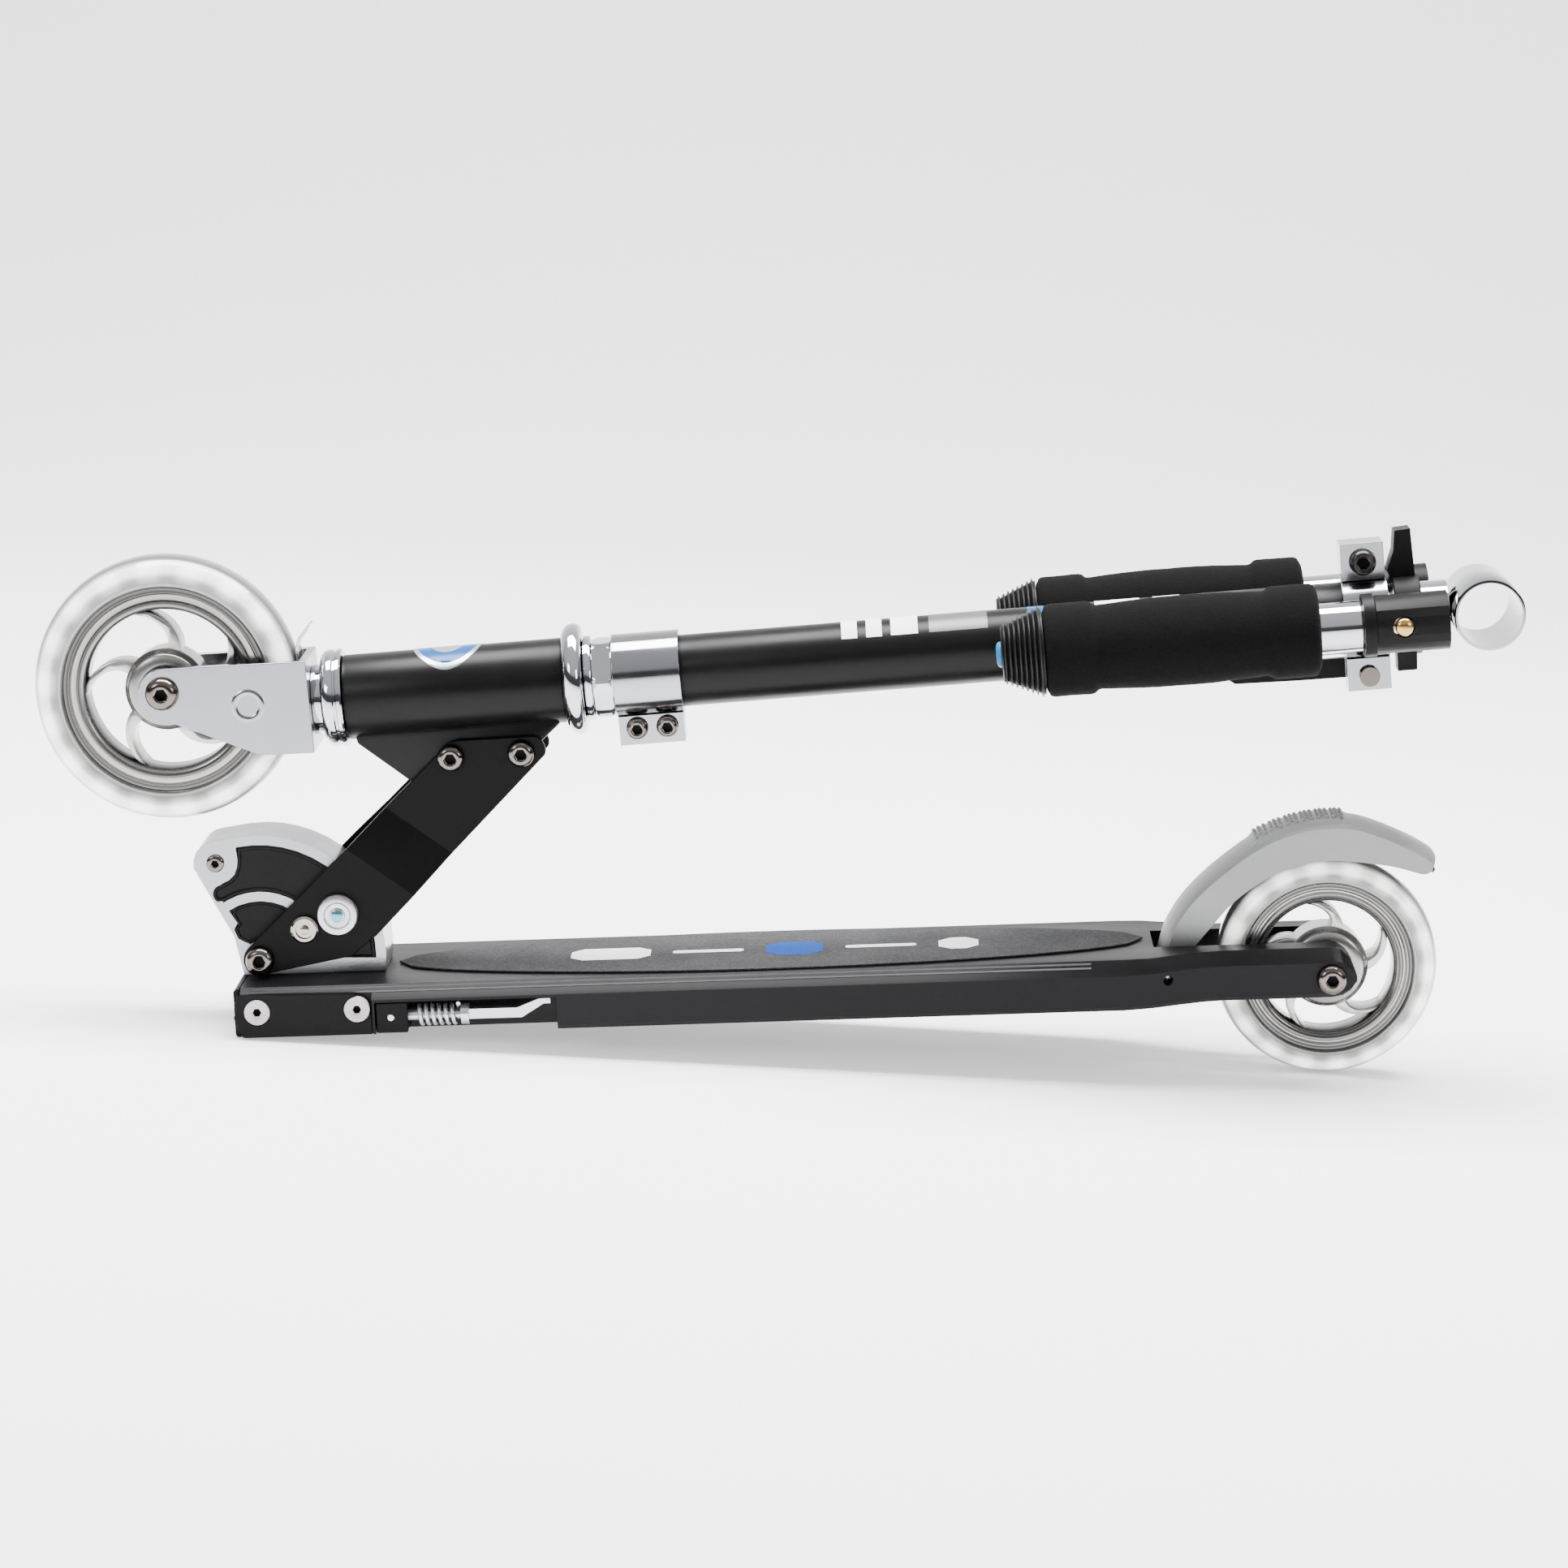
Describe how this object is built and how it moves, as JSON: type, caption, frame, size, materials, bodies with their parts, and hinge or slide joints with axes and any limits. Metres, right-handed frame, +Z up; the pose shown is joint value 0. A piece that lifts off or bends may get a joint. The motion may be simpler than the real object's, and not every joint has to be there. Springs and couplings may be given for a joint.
{
  "type": "kick scooter",
  "caption": "Folding two-wheel kick scooter, folded flat: aluminium deck, steering column laid over it, handles stowed beside the column, rear fender brake and side stand.",
  "frame": {"origin": "middle of the bottom of the folded scooter's box, on the floor", "axes": "+X towards the scooter's rear, -Y its left side with the kickstand, +Z up"},
  "size_m": [0.6592, 0.123, 0.2496],
  "materials": {
    "black_paint": "satin black powder coat",
    "black_anodised": "satin black anodised extrusion",
    "black_plastic": "moulded, matt",
    "grip_foam": "matt closed-cell foam",
    "rubber": "matt moulded rubber",
    "blue_plastic": "sky blue, smooth",
    "sandpaper": "coarse charcoal grip sheet",
    "cast_aluminium": "satin cast and plate aluminium",
    "silver_fender": "frosted silver casting",
    "chrome": "polished",
    "bolt_steel": "dark polished steel",
    "zinc": "bright zinc plate",
    "brass": "polished",
    "clear_tyre": "clear milky polyurethane",
    "wheel_core": "translucent silver-white moulding"
  },
  "bodies": {
    "deck_body": {"deck": "black_anodised", "grip_tape": "sandpaper", "deck_front_cap": "black_plastic", "side_plate_left": "black_paint", "side_plate_right": "black_paint", "side_bolt_front": "cast_aluminium", "side_bolt_rear": "cast_aluminium", "fold_block": "cast_aluminium", "fold_insert_upper": "black_plastic", "fold_insert_lower": "black_plastic", "fold_rivet": "bolt_steel", "pivot_bolt": "bolt_steel", "kickstand_block": "black_plastic", "brake_pin": "zinc", "rear_axle_bolt": "bolt_steel"},
    "kickstand": {"kickstand_leg": "zinc", "kickstand_spring": "zinc"},
    "brake": {"brake_fender": "silver_fender"},
    "rear_wheel": {"rear_tyre": "clear_tyre", "rear_wheel_core": "wheel_core", "rear_bearing": "zinc"},
    "head": {"arm_plate_left": "black_paint", "arm_plate_right": "black_paint", "stop_nut": "bolt_steel", "arm_bolt_1": "bolt_steel", "arm_bolt_2": "bolt_steel", "head_tube": "black_paint", "lower_cup": "chrome", "upper_cup": "chrome"},
    "lock_left": {"lock_knob_left": "cast_aluminium"},
    "lock_right": {"lock_knob_right": "cast_aluminium"},
    "steering": {"fork": "cast_aluminium", "steerer_tube": "chrome", "lock_ring": "chrome", "headset_nut": "chrome", "front_axle_bolt": "bolt_steel", "column_tube": "black_paint", "lower_clamp": "chrome", "lower_clamp_screw_1": "bolt_steel", "lower_clamp_screw_2": "bolt_steel", "upper_clamp": "chrome", "upper_clamp_bolt": "bolt_steel", "quick_release_pin": "bolt_steel"},
    "lever": {"quick_release_lever": "black_plastic"},
    "front_wheel": {"front_tyre": "clear_tyre", "front_wheel_core": "wheel_core", "front_bearing": "zinc"},
    "inner_column": {"inner_tube": "chrome", "t_tube": "chrome", "handle_holder": "black_plastic", "handle_bar_left": "chrome", "foam_grip_left": "grip_foam", "grip_cap_left": "rubber", "end_plug_left": "blue_plastic", "handle_bar_right": "chrome", "foam_grip_right": "grip_foam", "grip_cap_right": "rubber", "end_plug_right": "blue_plastic"},
    "button_left": {"snap_button_left": "brass"},
    "button_right": {"snap_button_right": "brass"}
  },
  "joints": [
    {"name": "fold", "type": "hinge", "parent": "deck_body", "child": "head", "pos_m": [-0.22281, 0, 0.03066], "axis": [0, -1, 0], "range_deg": [0, 79.5]},
    {"name": "steer", "type": "hinge", "parent": "head", "child": "steering", "pos_m": [-0.18962, 0, 0.14855], "axis": [0.9913, 0, 0.1319], "range_deg": [-90, 90]},
    {"name": "front_wheel_spin", "type": "hinge", "parent": "steering", "child": "front_wheel", "pos_m": [-0.26994, 0, 0.14946], "axis": [0, 1, 0], "continuous": true},
    {"name": "rear_wheel_spin", "type": "hinge", "parent": "deck_body", "child": "rear_wheel", "pos_m": [0.25507, 0, 0.0503], "axis": [0, 1, 0], "continuous": true},
    {"name": "brake_press", "type": "hinge", "parent": "deck_body", "child": "brake", "pos_m": [0.18224, 0, 0.04753], "axis": [0, 1, 0], "range_deg": [0, 1.9], "stiffness_Nm_per_rad": 2, "springref_deg": -17.19},
    {"name": "kickstand_swing", "type": "hinge", "parent": "deck_body", "child": "kickstand", "pos_m": [-0.1611, -0.0405, 0.0134], "axis": [0, 1, 0], "range_deg": [0, 48]},
    {"name": "height", "type": "slide", "parent": "steering", "child": "inner_column", "axis": [0.9913, 0, 0.1319], "range_m": [0, 0.14]},
    {"name": "quick_release", "type": "hinge", "parent": "steering", "child": "lever", "pos_m": [0.26477, 0.02, 0.18329], "axis": [0.1319, 0, -0.9913], "range_deg": [0, 150]},
    {"name": "lock_left_pull", "type": "slide", "parent": "head", "child": "lock_left", "axis": [0, -1, 0], "range_m": [0, 0.004], "stiffness_N_per_m": 800, "springref_m": -0.004},
    {"name": "button_left_press", "type": "slide", "parent": "inner_column", "child": "button_left", "axis": [0, 1, 0], "range_m": [0, 0.003], "stiffness_N_per_m": 600, "springref_m": -0.003},
    {"name": "lock_right_pull", "type": "slide", "parent": "head", "child": "lock_right", "axis": [0, 1, 0], "range_m": [0, 0.004], "stiffness_N_per_m": 800, "springref_m": -0.004},
    {"name": "button_right_press", "type": "slide", "parent": "inner_column", "child": "button_right", "axis": [0, -1, 0], "range_m": [0, 0.003], "stiffness_N_per_m": 600, "springref_m": -0.003}
  ]
}
